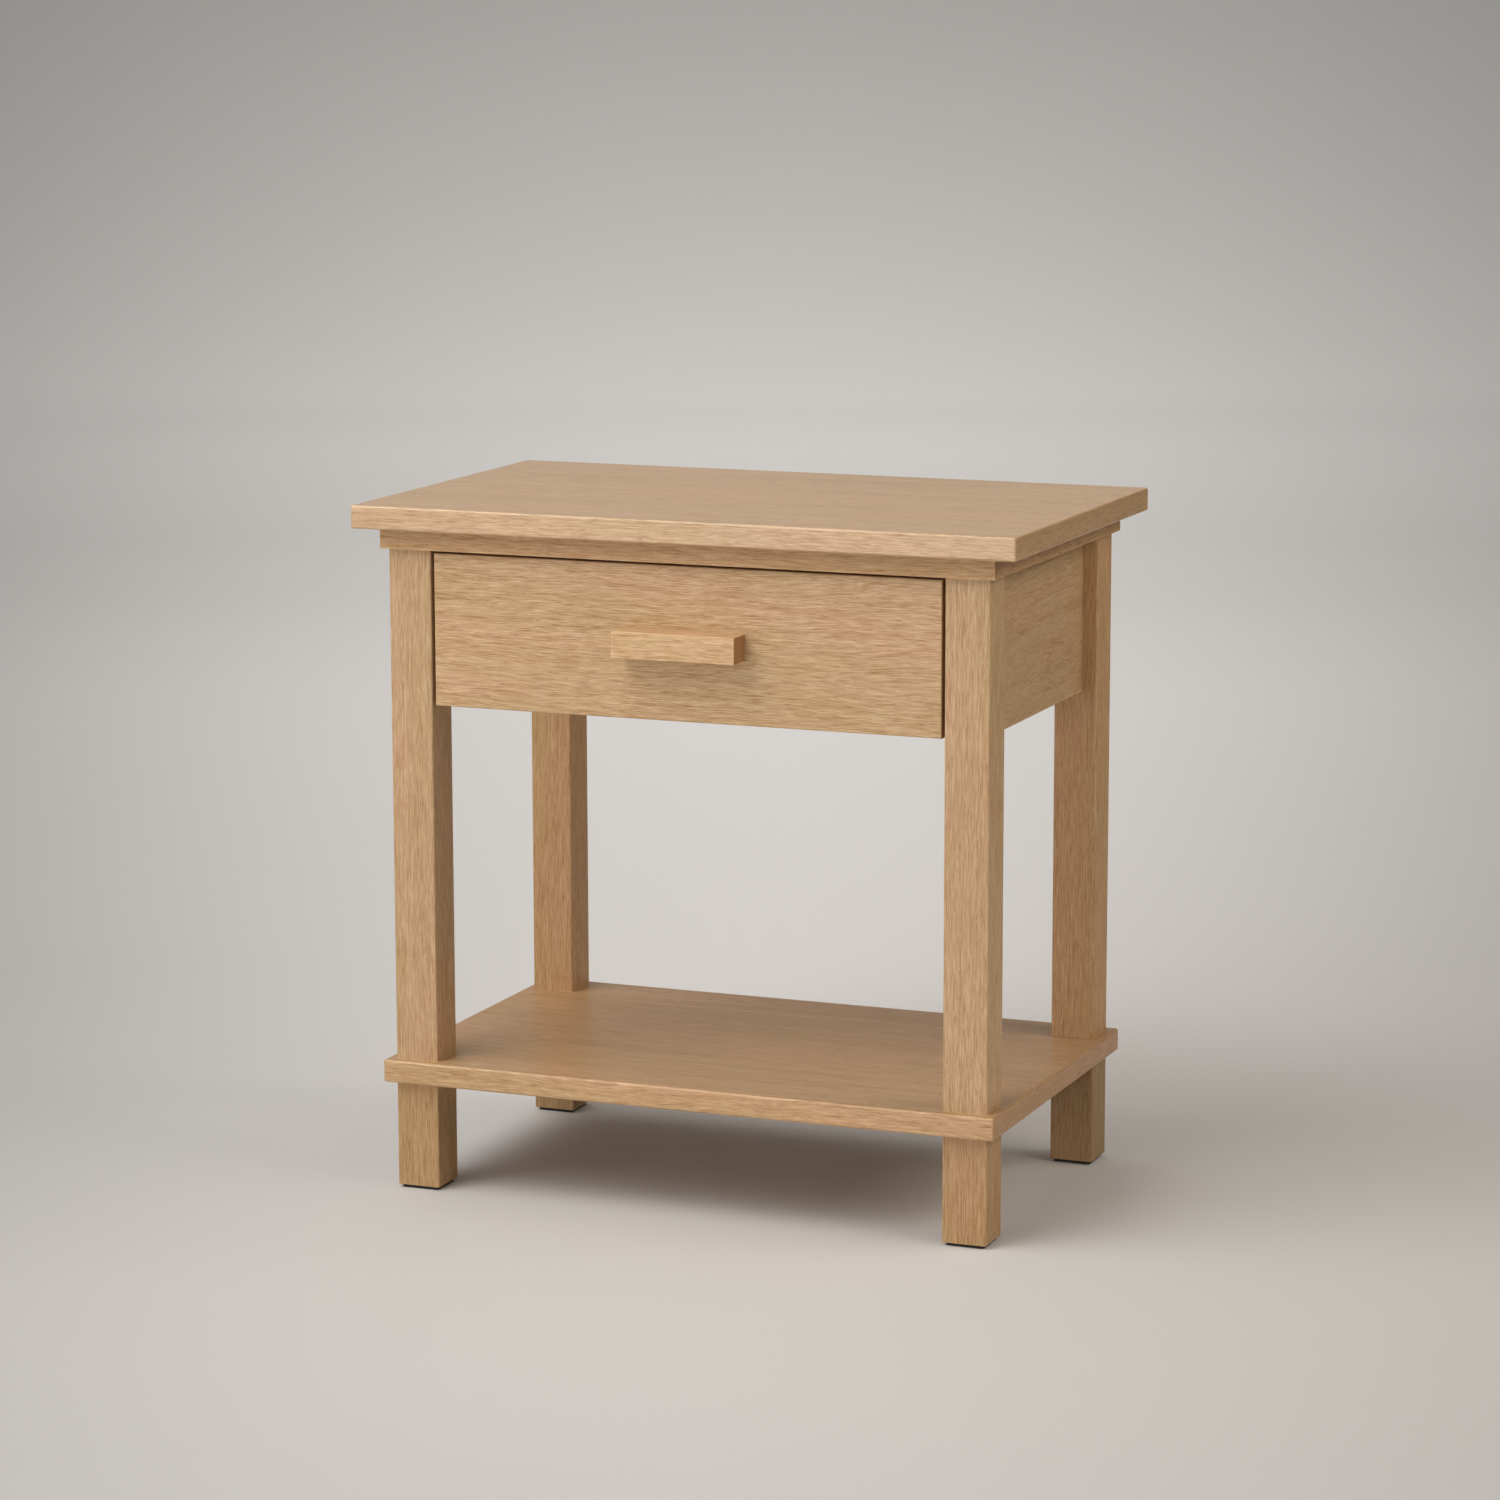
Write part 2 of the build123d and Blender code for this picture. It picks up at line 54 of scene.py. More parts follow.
# name, elevation, azimuth from straight ahead towards the left, height of the box, watts, colour
TABLE_LIGHTS = (
    ("key_left", 38, 30, 2.4, 24, LIGHT_COLOUR),
    ("key_front", 50, 15, 2.4, 14, LIGHT_COLOUR),
    ("key_high_left", 50, 45, 2.4, 34, LIGHT_COLOUR),
    ("high_left", 62, 45, 2.4, 30, LIGHT_COLOUR),
    ("low_front", 4, 0, 0.8, 25, LIGHT_COLOUR),
    ("low_left", 4, 30, 0.8, 11, LIGHT_COLOUR),
    ("back_left", 62, 135, 2.4, 18, LIGHT_COLOUR),
    ("side_right", 34, 270, 1.6, 39, WARM_COLOUR),
    ("front_right", 38, 300, 1.6, 6, WARM_COLOUR),
    ("back_right", 38, 240, 1.6, 12, LIGHT_COLOUR),
    ("glaze", 20, 158, 1.6, 2.2, LIGHT_COLOUR),
)
# name, turn from straight behind the table, distance out, distance and height of the spot aimed at, watts
BACKDROP_LIGHTS = (
    ("backdrop_far", 0, 5.2, 8.0, 0.6, 62),
    ("backdrop_near", 0, 3.2, 3.9, 0.0, 40),
    ("backdrop_left", 90, 5.0, 7.2, 0.3, 110),
    ("backdrop_right", 270, 5.0, 7.2, 0.3, 110),
    ("backdrop_front", 180, 4.8, 6.0, 0.3, 140),
)
BACKDROP_SPREAD = 100
BACKDROP_LIGHT_HEIGHT = 3.8
BACKDROP_LIGHT_SIZE = (7.0, 2.5)
# Level, from the table straight away from the camera
BACKDROP_DIRECTION = Vector((-math.sin(math.radians(CAMERA_YAW)), math.cos(math.radians(CAMERA_YAW)), 0))


def make_camera():
    """The camera, in front of the table to its right and a little above it."""
    camera = bpy.data.objects.new("camera", bpy.data.cameras.new("camera"))
    bpy.context.scene.collection.objects.link(camera)
    turn = Matrix.Rotation(math.radians(CAMERA_YAW), 4, "Z")
    tip = Matrix.Rotation(math.radians(90 - CAMERA_PITCH), 4, "X")
    roll = Matrix.Rotation(math.radians(CAMERA_ROLL), 4, "Z")
    camera.matrix_world = Matrix.Translation(CAMERA_PLACE) @ turn @ tip @ roll
    camera.data.lens = CAMERA_LENS
    camera.data.sensor_width = SENSOR
    camera.data.clip_end = 100
    bpy.context.scene.camera = camera


def make_area_light(name, place, target, width, height, power, colour=LIGHT_COLOUR, spread=180):
    """A soft light at a place, aimed at a target, that keeps within a beam of so many degrees."""
    light = bpy.data.objects.new(name, bpy.data.lights.new(name, "AREA"))
    bpy.context.scene.collection.objects.link(light)
    light.data.shape = "RECTANGLE"
    light.data.size = width
    light.data.size_y = height
    light.data.energy = power
    light.data.color = colour
    light.data.spread = math.radians(spread)
    light.location = place
    aim = Vector(target) - Vector(place)
    light.rotation_euler = aim.to_track_quat("-Z", "Y").to_euler()


def make_lights():
    """Soft boxes on a dome round the table and more over the backdrop round it."""
    for name, elevation, azimuth, tall, power, colour in TABLE_LIGHTS:
        up, round_z = math.radians(elevation), math.radians(azimuth)
        level = math.cos(up)
        aim = Vector((-math.sin(round_z) * level, -math.cos(round_z) * level, math.sin(up)))
        place = DOME_MIDDLE + aim * LIGHT_DISTANCE
        make_area_light(name, place, DOME_MIDDLE, LIGHT_WIDTH, tall, power, colour)
    for name, turn, distance, aimed_at, level, power in BACKDROP_LIGHTS:
        out = Matrix.Rotation(math.radians(turn), 3, "Z") @ BACKDROP_DIRECTION
        place = out * distance + Vector((0, 0, BACKDROP_LIGHT_HEIGHT))
        target = out * aimed_at + Vector((0, 0, level))
        make_area_light(name, place, target, *BACKDROP_LIGHT_SIZE, power, spread=BACKDROP_SPREAD)


def make_floor():
    """A pale floor that curves up into a wall all round."""
    profile = [(FLOOR_RADIUS * i / FLOOR_RINGS, 0) for i in range(FLOOR_RINGS + 1)]
    for i in range(1, COVE_RINGS + 1):
        angle = math.pi / 2 * i / COVE_RINGS
        profile.append((FLOOR_RADIUS + COVE_RADIUS * math.sin(angle), COVE_RADIUS * (1 - math.cos(angle))))
    profile.append((FLOOR_RADIUS + COVE_RADIUS, WALL_HEIGHT))
    points = [Vector((0, 0, 0))]
    faces = []
    for radius, level in profile[1:]:
        for k in range(FLOOR_SEGMENTS):
            angle = 2 * math.pi * k / FLOOR_SEGMENTS
            points.append(Vector((radius * math.cos(angle), radius * math.sin(angle), level)))
    for k in range(FLOOR_SEGMENTS):
        after = (k + 1) % FLOOR_SEGMENTS
        faces.append((0, 1 + k, 1 + after))
        for ring in range(len(profile) - 2):
            near = 1 + ring * FLOOR_SEGMENTS
            far = near + FLOOR_SEGMENTS
            faces.append((near + k, far + k, far + after, near + after))
    mesh = bpy.data.meshes.new("studio_floor")
    mesh.from_pydata(points, [], faces)
    mesh.shade_smooth()
    floor = bpy.data.objects.new("studio_floor", mesh)
    bpy.context.scene.collection.objects.link(floor)
    floor.data.materials.append(floor_material())


def make_studio():
    """Floor, lights and a dim world."""
    scene = bpy.context.scene
    scene.view_settings.view_transform = "Standard"
    scene.world = bpy.data.worlds.new("studio")
    scene.world.use_nodes = True
    sky = scene.world.node_tree.nodes["Background"]
    sky.inputs["Color"].default_value = (*LIGHT_COLOUR, 1)
    sky.inputs["Strength"].default_value = WORLD_STRENGTH
    make_floor()
    make_lights()


# ---------------------------------------------------------------- shader nodes in short


class Tree:
    """A material's node tree, with one method for each kind of node used here."""

    def __init__(self, name):
        self.material = bpy.data.materials.new(name)
        self.material.use_nodes = True
        self.tree = self.material.node_tree
        self.shader = self.tree.nodes["Principled BSDF"]

    def put(self, socket, value):
        """Link a socket to another node's output, or set its value."""
        if isinstance(value, bpy.types.NodeSocket):
            self.tree.links.new(value, socket)
        else:
            socket.default_value = value

    def set(self, **values):
        """Set or link inputs of the shader, named with underscores for spaces."""
        for name, value in values.items():
            self.put(self.shader.inputs[name.replace("_", " ")], value)

    def math(self, operation, a, b=0.0, c=0.0):
        node = self.tree.nodes.new("ShaderNodeMath")
        node.operation = operation
        for socket, value in zip(node.inputs, (a, b, c)):
            self.put(socket, value)
        return node.outputs[0]

    def vector_math(self, operation, a, b=(0, 0, 0)):
        node = self.tree.nodes.new("ShaderNodeVectorMath")
        node.operation = operation
        self.put(node.inputs[0], a)
        self.put(node.inputs[1], b)
        return node.outputs["Value" if operation in ("LENGTH", "DOT_PRODUCT") else "Vector"]

    def noise(self, vector, scale=1.0, detail=2.0, rough=0.5, output="Fac"):
        node = self.tree.nodes.new("ShaderNodeTexNoise")
        self.put(node.inputs["Vector"], vector)
        self.put(node.inputs["Scale"], scale)
        node.inputs["Detail"].default_value = detail
        node.inputs["Roughness"].default_value = rough
        return node.outputs[output]

    def map(self, value, low, high, to_low=0.0, to_high=1.0, smooth=True):
        node = self.tree.nodes.new("ShaderNodeMapRange")
        node.interpolation_type = "SMOOTHSTEP" if smooth else "LINEAR"
        for socket, given in zip(node.inputs, (value, low, high, to_low, to_high)):
            self.put(socket, given)
        return node.outputs[0]

    def ramp(self, value, stops):
        """Colour or grey along a value, from (position, colour) stops."""
        node = self.tree.nodes.new("ShaderNodeValToRGB")
        self.put(node.inputs[0], value)
        elements = node.color_ramp.elements
        while len(elements) < len(stops):
            elements.new(0.5)
        for element, (position, colour) in zip(elements, stops):
            element.position = position
            element.color = (*colour, 1)
        return node.outputs[0]

    def mix(self, factor, a, b, blend="MIX"):
        node = self.tree.nodes.new("ShaderNodeMix")
        node.data_type = "RGBA"
        node.blend_type = blend
        self.put(node.inputs["Factor"], factor)
        self.put(node.inputs[6], a if isinstance(a, bpy.types.NodeSocket) else (*a, 1))
        self.put(node.inputs[7], b if isinstance(b, bpy.types.NodeSocket) else (*b, 1))
        return node.outputs[2]

    def coordinates(self, output="Object"):
        return self.tree.nodes.new("ShaderNodeTexCoord").outputs[output]

    def split(self, vector):
        node = self.tree.nodes.new("ShaderNodeSeparateXYZ")
        self.put(node.inputs[0], vector)
        return node.outputs[0], node.outputs[1], node.outputs[2]

    def join(self, x, y, z):
        node = self.tree.nodes.new("ShaderNodeCombineXYZ")
        for socket, value in zip(node.inputs, (x, y, z)):
            self.put(socket, value)
        return node.outputs[0]

    def bump(self, height, distance, strength=1.0):
        node = self.tree.nodes.new("ShaderNodeBump")
        node.inputs["Distance"].default_value = distance
        node.inputs["Strength"].default_value = strength
        self.put(node.inputs["Height"], height)
        return node.outputs[0]


# How pale the floor is along the line behind the table, a painted pool of light in place of how the lamps
# fall off: distance behind its middle, grey
FLOOR_PAINTED_LIGHT_GREYS = (
    (-1.5, 0.54), (-0.9, 0.57), (-0.4, 0.64), (0.7, 0.73), (1.7, 0.79), (3.2, 0.86), (4.3, 0.99), (5.1, 0.98),
    (5.9, 0.91), (7.3, 0.84), (8.7, 0.61), (10.0, 0.35),
)
FLOOR_EDGE_GREY = 0.30
# The painted pool of light's half width at two distances behind the table, and how far right of that line it
# lies
POOL_REACH = (0.9, 6.9)
POOL_HALF_WIDTHS = (1.04, 2.65)
POOL_SHIFT = 0.06
FLOOR_TINT = (1.0, 0.975, 0.955)


def floor_material():
    """Matt warm grey, palest in a painted pool of light that widens away behind the table."""
    t = Tree("studio_floor")
    place = t.coordinates()
    side = Vector((BACKDROP_DIRECTION.y, -BACKDROP_DIRECTION.x, 0))
    back = t.vector_math("DOT_PRODUCT", place, tuple(BACKDROP_DIRECTION))
    across = t.vector_math("DOT_PRODUCT", place, tuple(side))
    nearest, farthest = FLOOR_PAINTED_LIGHT_GREYS[0][0], FLOOR_PAINTED_LIGHT_GREYS[-1][0]
    stops = [((at - nearest) / (farthest - nearest), (grey,) * 3) for at, grey in FLOOR_PAINTED_LIGHT_GREYS]
    middle = t.ramp(t.map(back, nearest, farthest, smooth=False), stops)
    half_width = t.map(back, *POOL_REACH, *POOL_HALF_WIDTHS, smooth=False)
    reach = t.math("DIVIDE", t.math("SUBTRACT", across, POOL_SHIFT), half_width)
    # painted light: the floor is palest in a pool behind the table, standing in for light that falls there
    pool = t.math("EXPONENT", t.math("MULTIPLY", t.math("MULTIPLY", reach, reach), -1.0))
    grey = t.mix(pool, (FLOOR_EDGE_GREY,) * 3, middle)
    t.set(Base_Color=t.mix(1.0, grey, FLOOR_TINT, "MULTIPLY"), Roughness=0.85, Specular_IOR_Level=0.2)
    return t.material


# ---------------------------------------------------------------- oak

# The colours of oak, in linear light, and what its pores, ends and edges multiply them by
OAK_YELLOW = (0.504, 0.335, 0.176)
OAK_PINK = (0.520, 0.327, 0.179)
PORE_TONE = (0.66, 0.54, 0.44)
END_TONE = (0.70, 0.57, 0.43)
# The edges' pale tone is part rubbed wear, part painted highlight along the arrises
EDGE_WEAR_AND_HIGHLIGHT_TONE = (1.22, 1.24, 1.28)
# How much of those tones is taken. A lipped board's ends are its lipping, so they take less.
PORE_STRENGTH = 0.8
END_STRENGTH = 0.9
LIPPED_END_STRENGTH = 0.5
EDGE_STRENGTH = 0.55

# Noise cells per metre along, across and through the grain
SLOW_WAVE = (3.5, 14, 14)
QUICK_WAVE = (22, 60, 60)
DRIFT = (3.5, 24, 24)
BAND = (4, 110, 110)
STREAK = (20, 800, 800)
DASH = (50, 1100, 1100)
HAIR = (110, 2400, 2400)
PORE = (60, 1200, 1200)
# Each board's noise starts at its own place, up to so many metres away
SHIFT_REACH = 3.1
SHIFT_TURNS = (1.7, 2.9, 4.3)

# How far the waves push the fibres
SLOW_PUSH = 14 * MM
QUICK_PUSH = 2.6 * MM
# A swirl is longer along the grain than across it, and ends at so many times its size
SWIRL_NARROWING = 0.45
SWIRL_END = 1.6
# A growth ring's width, how many rings it wanders by, and how far into a ring early wood goes and comes back
RING_WIDTH = 3.2 * MM
RING_WANDER = 2.2
RING_WANDER_CELLS = 0.35
EARLY_WOOD_GONE = 0.45
EARLY_WOOD_BACK = 0.88
EDGE_WIDTH = 2.6 * MM

# How pale the wood is, and how much each part of its figure lightens or darkens it
LATE_WOOD = 1.01
EARLY_SHADE = -0.08
DRIFT_SHADE = 0.12
BAND_SHADE = 0.26
STREAK_SHADE = 0.85
HAIR_SHADE = 0.52
PALE_DASH_SHADE = 0.22
DARK_DASH_SHADE = 0.24
# Red, green and blue take less or more of it: darker wood is also more orange, paler wood more like cream
CHANNEL_SHARES = (0.66, 0.92, 1.30)

GRAIN_BUMP = 0.12 * MM
BARE_SPECULAR = 0.25
COATED_SPECULAR = 0.5
COAT_ROUGHNESS = 0.28


def facing(t, axis):
    """How squarely a surface faces along an axis: 0 to 1."""
    return t.math("ABSOLUTE", t.split(t.coordinates("Normal"))["xyz".index(axis)])


def board_coordinates(t, grain, seed, lipped=False):
    """Object coordinates as (along the grain, across, through), shifted by a board's own offset.
    A lipped board's grain turns to run along its ends too."""
    axes = dict(zip("xyz", t.split(t.coordinates())))
    place = t.join(*(axes[a] for a in grain))
    if lipped:
        turned = t.join(*(axes[a] for a in (grain[1], grain[0], grain[2])))
        place = t.mix(t.math("GREATER_THAN", facing(t, grain[0]), 0.7), place, turned)
    shift = tuple(SHIFT_REACH * math.sin(seed * turn) for turn in SHIFT_TURNS)
    return place, t.vector_math("ADD", place, shift)


def edge_nearness(t, node, width):
    """1 on the edges of a board's box, falling to 0 at a distance from them."""
    low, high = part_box(node)
    middle = tuple((low + high) / 2)
    half = tuple((high - low) / 2)
    away = t.vector_math("ABSOLUTE", t.vector_math("SUBTRACT", t.coordinates(), middle))
    depth = t.split(t.vector_math("SUBTRACT", half, away))
    nearest = t.math("ADD", t.math("ADD", depth[0], depth[1]), depth[2])
    deepest = t.math("MAXIMUM", t.math("MAXIMUM", depth[0], depth[1]), depth[2])
    return t.map(t.math("SUBTRACT", nearest, deepest), 0.0, width, 1.0, 0.0)


def grain_noise(t, place, cells, **settings):
    """Noise with so many cells per metre along, across and through the grain."""
    return t.noise(t.vector_math("MULTIPLY", place, cells), **settings)


def swing(t, noise, amount, base=0.0):
    """A base value that a noise lifts and lowers by an amount."""
    return t.math("MULTIPLY_ADD", t.math("SUBTRACT", noise, 0.5), amount, base)


def tone_by(t, body, tone, strength):
    """A colour multiplied by a tone where a strength is 1."""
    return t.mix(strength, body, t.mix(1.0, body, tone, "MULTIPLY"))


def fibre_warp(t, local, shifted, swirl):
    """How far the fibres are pushed aside: slow and quick waves, and a swirl if there is one."""
    warps = []
    for cells, push in ((SLOW_WAVE, SLOW_PUSH), (QUICK_WAVE, QUICK_PUSH)):
        wave = grain_noise(t, shifted, cells, detail=1.0, output="Color")
        centred = t.vector_math("SUBTRACT", wave, (0.5, 0.5, 0.5))
        warps.append(t.vector_math("MULTIPLY", centred, (0, push, push)))
    warp = t.vector_math("ADD", *warps)
    if swirl:
        along, across, size, push = swirl
        reach = t.vector_math("SUBTRACT", local, (along, across, 0))
        spread = t.vector_math("MULTIPLY", reach, (SWIRL_NARROWING / size, 1 / size, 0))
        fade = t.map(t.vector_math("LENGTH", spread), 0, SWIRL_END, 1, 0)
        side = t.math("MULTIPLY", fade, t.map(t.split(reach)[1], -size, size, push, -push, smooth=False))
        warp = t.vector_math("ADD", warp, t.join(0, side, 0))
    return warp


def early_wood(t, grown, pith):
    """1 in each growth ring's porous early wood round the pith, 0 in its late wood."""
    radial = t.vector_math("MULTIPLY", t.vector_math("SUBTRACT", grown, (0, *pith)), (0, 1, 1))
    years = t.math("DIVIDE", t.vector_math("LENGTH", radial), RING_WIDTH)
    wander = t.noise(t.join(0, 0, years), RING_WANDER_CELLS)
    years = t.math("ADD", years, t.math("MULTIPLY", wander, RING_WANDER))
    season = t.math("FRACT", years)
    going = t.map(season, 0.0, EARLY_WOOD_GONE, 1.0, 0.0)
    coming = t.map(season, EARLY_WOOD_BACK, 1.0, 0.0, 1.0)
    return t.math("ADD", going, coming)


def oak(node, grain, pith, seed, tone, tint, coat=0.0, painted_face_shade=1.0, figure=1.0, cloud=1.0, lipped=False,
        swirl=None):
    """Oak for one board. grain is the order of axes: along, across, through. pith is where the log's centre
    lay, across and through from the board's middle, in metres. The face tone, figure and cloud act on the
    wide
    faces: the face tone darkens them against the edges as painted shade, and figure and cloud say how
    strongly the fine grain and the broad drifts show.
    swirl is a spot that the fibres flow round: its place along and across, its size and its push."""
    t = Tree(f"oak_{node}")
    low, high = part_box(node)
    centre = dict(zip("xyz", (low + high) / 2))
    place, shifted = board_coordinates(t, grain, seed, lipped)
    local = t.vector_math("SUBTRACT", place, tuple(centre[a] for a in grain))
    warp = fibre_warp(t, local, shifted, swirl)
    fibre = t.vector_math("ADD", shifted, warp)
    early = early_wood(t, t.vector_math("ADD", local, warp), pith)

    # broad drifts from yellow to pink, growth rings, streaks, pale and dark dashes, fine hair
    drift = grain_noise(t, fibre, DRIFT)
    band = grain_noise(t, fibre, BAND)
    streak = grain_noise(t, fibre, STREAK, rough=0.65)
    dash = grain_noise(t, fibre, DASH, detail=1.0)
    hair = grain_noise(t, fibre, HAIR, detail=1.0)
    face = t.map(facing(t, grain[2]), 0.5, 0.9)
    fine = t.map(face, 0, 1, 1.0, figure, smooth=False)
    broad = t.map(face, 0, 1, 1.0, cloud, smooth=False)
    lines = swing(t, streak, STREAK_SHADE)
    lines = t.math("ADD", lines, t.map(dash, 0.54, 0.64, 0.0, PALE_DASH_SHADE))
    lines = t.math("SUBTRACT", lines, t.map(dash, 0.44, 0.32, 0.0, DARK_DASH_SHADE))
    patches = swing(t, band, BAND_SHADE, swing(t, drift, DRIFT_SHADE))
    shade = t.math("MULTIPLY_ADD", early, EARLY_SHADE, LATE_WOOD)
    shade = t.math("MULTIPLY_ADD", patches, broad, shade)
    shade = swing(t, hair, HAIR_SHADE, shade)
    shade = t.math("MULTIPLY_ADD", lines, fine, shade)
    shade = t.join(*(t.math("MULTIPLY_ADD", shade, share, 1 - share) for share in CHANNEL_SHARES))
    # painted shade: the wide faces take a lower face tone than the edges, and boards that stand in shade take
    # a lower tone and a golden tint
    level = t.map(face, 0, 1, tone, tone * painted_face_shade, smooth=False)
    level = t.vector_math("MULTIPLY", t.join(level, level, level), tint)
    body = t.mix(t.map(drift, 0.35, 0.65), OAK_YELLOW, OAK_PINK)
    body = t.mix(1.0, body, t.vector_math("MULTIPLY", shade, level), "MULTIPLY")

    # pores: short dark dashes on the faces, dots on the ends, thickest in the early wood
    pore = grain_noise(t, fibre, PORE, rough=0.55)
    limit = t.math("MULTIPLY_ADD", early, -0.055, 0.655)
    pore = t.map(t.math("SUBTRACT", pore, limit), 0.0, 0.045)
    body = tone_by(t, body, PORE_TONE, t.math("MULTIPLY", pore, PORE_STRENGTH))

    # the ends drink more finish and go darker; the edges are paler, partly rubbed wear and partly a painted
    # highlight along the arrises
    end_strength = LIPPED_END_STRENGTH if lipped else END_STRENGTH
    body = tone_by(t, body, END_TONE, t.map(facing(t, grain[0]), 0.5, 0.95, 0.0, end_strength))
    edge = edge_nearness(t, node, EDGE_WIDTH)
    body = tone_by(t, body, EDGE_WEAR_AND_HIGHLIGHT_TONE, t.math("MULTIPLY", edge, EDGE_STRENGTH))

    rough = t.math("MULTIPLY_ADD", pore, 0.15, t.map(streak, 0.3, 0.7, 0.42, 0.50))
    height = t.math("MULTIPLY_ADD", streak, 0.35, t.math("MULTIPLY", hair, 0.25))
    height = t.math("MULTIPLY_ADD", pore, -0.8, height)
    t.set(Base_Color=body, Roughness=rough, Normal=t.bump(height, GRAIN_BUMP, 0.6))
    t.set(Specular_IOR_Level=COATED_SPECULAR if coat else BARE_SPECULAR)
    t.set(Coat_Weight=coat, Coat_Roughness=COAT_ROUGHNESS)
    return t.material


# ---------------------------------------------------------------- other materials


def plain_wood(name, grain, colour, dark, seed):
    """Pale close-grained wood for the drawer box and hidden pieces."""
    t = Tree(name)
    _, place = board_coordinates(t, grain, seed)
    streak = grain_noise(t, place, (16, 420, 420), detail=3.0)
    drift = grain_noise(t, place, (4, 36, 36))
    body = t.mix(t.map(streak, 0.3, 0.7), dark, colour)
    body = t.mix(t.map(drift, 0.3, 0.7, 0.0, 0.35), body, dark)
    t.set(Base_Color=body, Roughness=t.map(streak, 0.3, 0.7, 0.48, 0.6))
    t.set(Normal=t.bump(streak, 0.06 * MM, 0.5))
    return t.material


# Grit cells per metre along each axis. Few cells along one axis read as drawing lines along it.
EVEN_GRIT = (900, 900, 900)
DRAWN_ALONG_Y = (2500, 30, 2500)
STEEL_CLOUD = (60, 60, 60)
RUBBER_GRIT = (1500, 1500, 1500)


def metal(name, colour, rough, grit_cells=EVEN_GRIT):
    """Plated steel, slightly clouded."""
    t = Tree(name)
    grit = t.noise(t.vector_math("MULTIPLY", t.coordinates(), grit_cells), detail=2.0)
    cloud = t.noise(t.vector_math("MULTIPLY", t.coordinates(), STEEL_CLOUD), detail=3.0)
    body = t.mix(t.map(cloud, 0.3, 0.7, 0.0, 0.3), colour, tuple(0.8 * c for c in colour))
    t.set(Base_Color=body, Roughness=t.map(grit, 0.25, 0.75, rough - 0.06, rough + 0.08))
    t.set(Normal=t.bump(grit, 0.02 * MM, 0.4), Metallic=1.0)
    return t.material


def rubber(name):
    """Matt dark pad."""
    t = Tree(name)
    grit = t.noise(t.vector_math("MULTIPLY", t.coordinates(), RUBBER_GRIT), detail=2.0)
    body = t.mix(grit, (0.012, 0.010, 0.009), (0.028, 0.024, 0.021))
    t.set(Base_Color=body, Roughness=t.map(grit, 0.3, 0.7, 0.75, 0.9), Normal=t.bump(grit, 0.05 * MM, 0.5))
    return t.material


# ---------------------------------------------------------------- dressing the CAD nodes

PLAIN = (1.0, 1.0, 1.0)
# More golden tints that paint the warmer colour of wood in shade
PAINTED_SHADE_TINT = (1.0, 0.94, 0.84)
SHELF_PAINTED_SHADE_TINT = (1.0, 0.94, 0.85)
# node: axes along, across and through the grain; pith; how pale the board is, lowered as painted shade on the
# boards that stand in shade (frame, back panel, side panels, back legs, feet); its tint, more golden as
# painted shade on the shaded boards and the shelf
OAK_BOARDS = {
    "table_top": ("xyz", (-0.30, -0.34), 1.07, PLAIN),
    "shelf": ("xyz", (0.34, -0.30), 0.98, SHELF_PAINTED_SHADE_TINT),
    "top_frame_front": ("xyz", (0.20, -0.20), 0.89, PAINTED_SHADE_TINT),
    "top_frame_back": ("xyz", (0.22, -0.18), 0.89, PAINTED_SHADE_TINT),
    "top_frame_left": ("yxz", (0.20, -0.20), 0.89, PAINTED_SHADE_TINT),
    "top_frame_right": ("yxz", (0.18, -0.22), 0.89, PAINTED_SHADE_TINT),
    "back_panel": ("xzy", (0.10, 0.30), 0.95, PAINTED_SHADE_TINT),
    "side_panel_left": ("yzx", (0.05, 0.26), 0.92, PLAIN),
    "side_panel_right": ("yzx", (-0.04, 0.28), 0.92, PLAIN),
    "drawer_front": ("xzy", (0.12, 0.34), 1.01, PLAIN),
    "drawer_pull": ("xzy", (0.10, 0.16), 1.16, PLAIN),
    "leg_front_left": ("zxy", (0.16, 0.14), 0.96, PLAIN),
    "leg_front_right": ("zxy", (-0.14, 0.16), 0.98, PLAIN),
    "leg_back_left": ("zxy", (0.15, -0.16), 0.92, PAINTED_SHADE_TINT),
    "leg_back_right": ("zxy", (-0.16, -0.15), 0.93, PAINTED_SHADE_TINT),
    "foot_front_left": ("zxy", (0.12, 0.14), 0.85, PAINTED_SHADE_TINT),
    "foot_front_right": ("zxy", (-0.15, 0.12), 0.83, PAINTED_SHADE_TINT),
    "foot_back_left": ("zxy", (0.13, -0.15), 0.68, PAINTED_SHADE_TINT),
    "foot_back_right": ("zxy", (-0.12, -0.14), 0.62, PAINTED_SHADE_TINT),
}
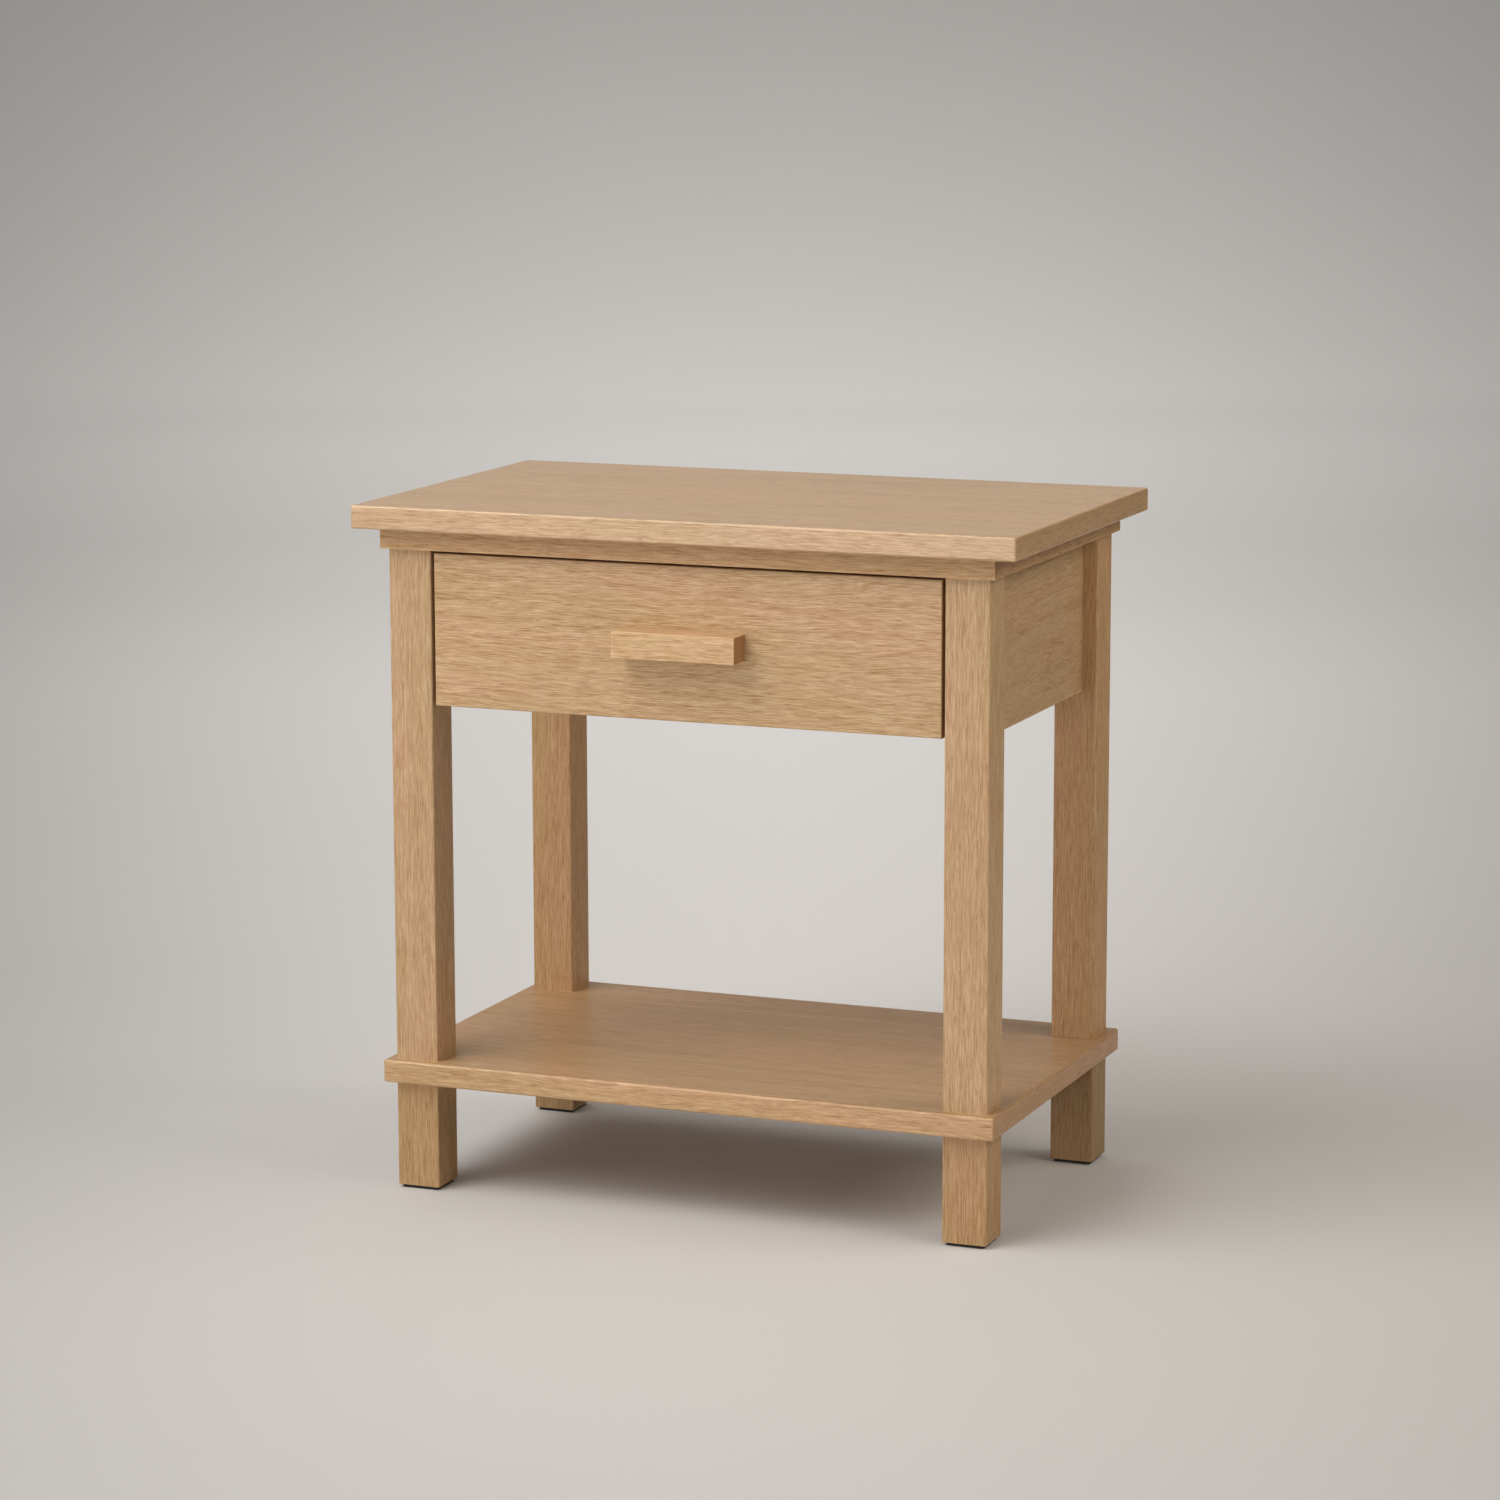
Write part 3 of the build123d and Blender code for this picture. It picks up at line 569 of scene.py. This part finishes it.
# What else sets a board apart, as oak() takes it
OAK_FINISHES = {
    "table_top": {"coat": 0.5, "painted_face_shade": 0.96, "figure": 1.1, "cloud": 2.2, "lipped": True},
    "shelf": {"coat": 0.3, "painted_face_shade": 0.95, "cloud": 2.0, "lipped": True},
    "drawer_front": {"figure": 1.15, "swirl": (-0.10, 0.0, 0.035, 0.006)},
    "drawer_pull": {"figure": 1.15},
    "side_panel_left": {"figure": 0.75},
    "side_panel_right": {"figure": 0.75},
}

# Pale and dark streaks of the plain woods
RAIL_WOOD = ((0.56, 0.36, 0.19), (0.44, 0.26, 0.125))
BOX_WOOD = ((0.66, 0.46, 0.27), (0.54, 0.35, 0.19))
PLYWOOD = ((0.68, 0.49, 0.30), (0.57, 0.39, 0.22))
BEECH = ((0.62, 0.42, 0.25), (0.50, 0.32, 0.18))


def dress(node, material):
    """Give every slot of a CAD node one material."""
    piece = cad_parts[node]
    piece.data.materials.clear()
    piece.data.materials.append(material)


def dress_table():
    """Materials for all the CAD nodes."""
    for seed, (node, (grain, pith, tone, tint)) in enumerate(OAK_BOARDS.items(), start=1):
        dress(node, oak(node, grain, pith, seed, tone, tint, **OAK_FINISHES.get(node, {})))
    screw = metal("screw_zinc", (0.64, 0.60, 0.50), 0.30)
    zinc = metal("zinc", (0.62, 0.62, 0.63), 0.34, DRAWN_ALONG_Y)
    beech = plain_wood("beech", "xyz", *BEECH, 47)
    # the first of these texts that is in a node's name gives its material
    by_text = (
        ("screws", screw),
        ("studs", screw),
        ("dowels", beech),
        ("biscuits", beech),
        ("foot_pad", rubber("pad_rubber")),
        ("slide_cage", metal("bright_steel", (0.58, 0.57, 0.56), 0.22)),
        ("slide_cleat", plain_wood("cleat_wood", "yxz", *RAIL_WOOD, 33)),
        ("slide", zinc),
        ("front_rail", plain_wood("inner_wood", "xyz", *RAIL_WOOD, 31)),
        ("drawer_side", plain_wood("drawer_box_y", "yxz", *BOX_WOOD, 41)),
        ("drawer_box", plain_wood("drawer_box_x", "xyz", *BOX_WOOD, 37)),
        ("drawer_bottom", plain_wood("plywood", "xyz", *PLYWOOD, 43)),
    )
    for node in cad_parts:
        if node not in OAK_BOARDS:
            dress(node, next(material for text, material in by_text if text in node))


make_camera()
make_studio()
dress_table()
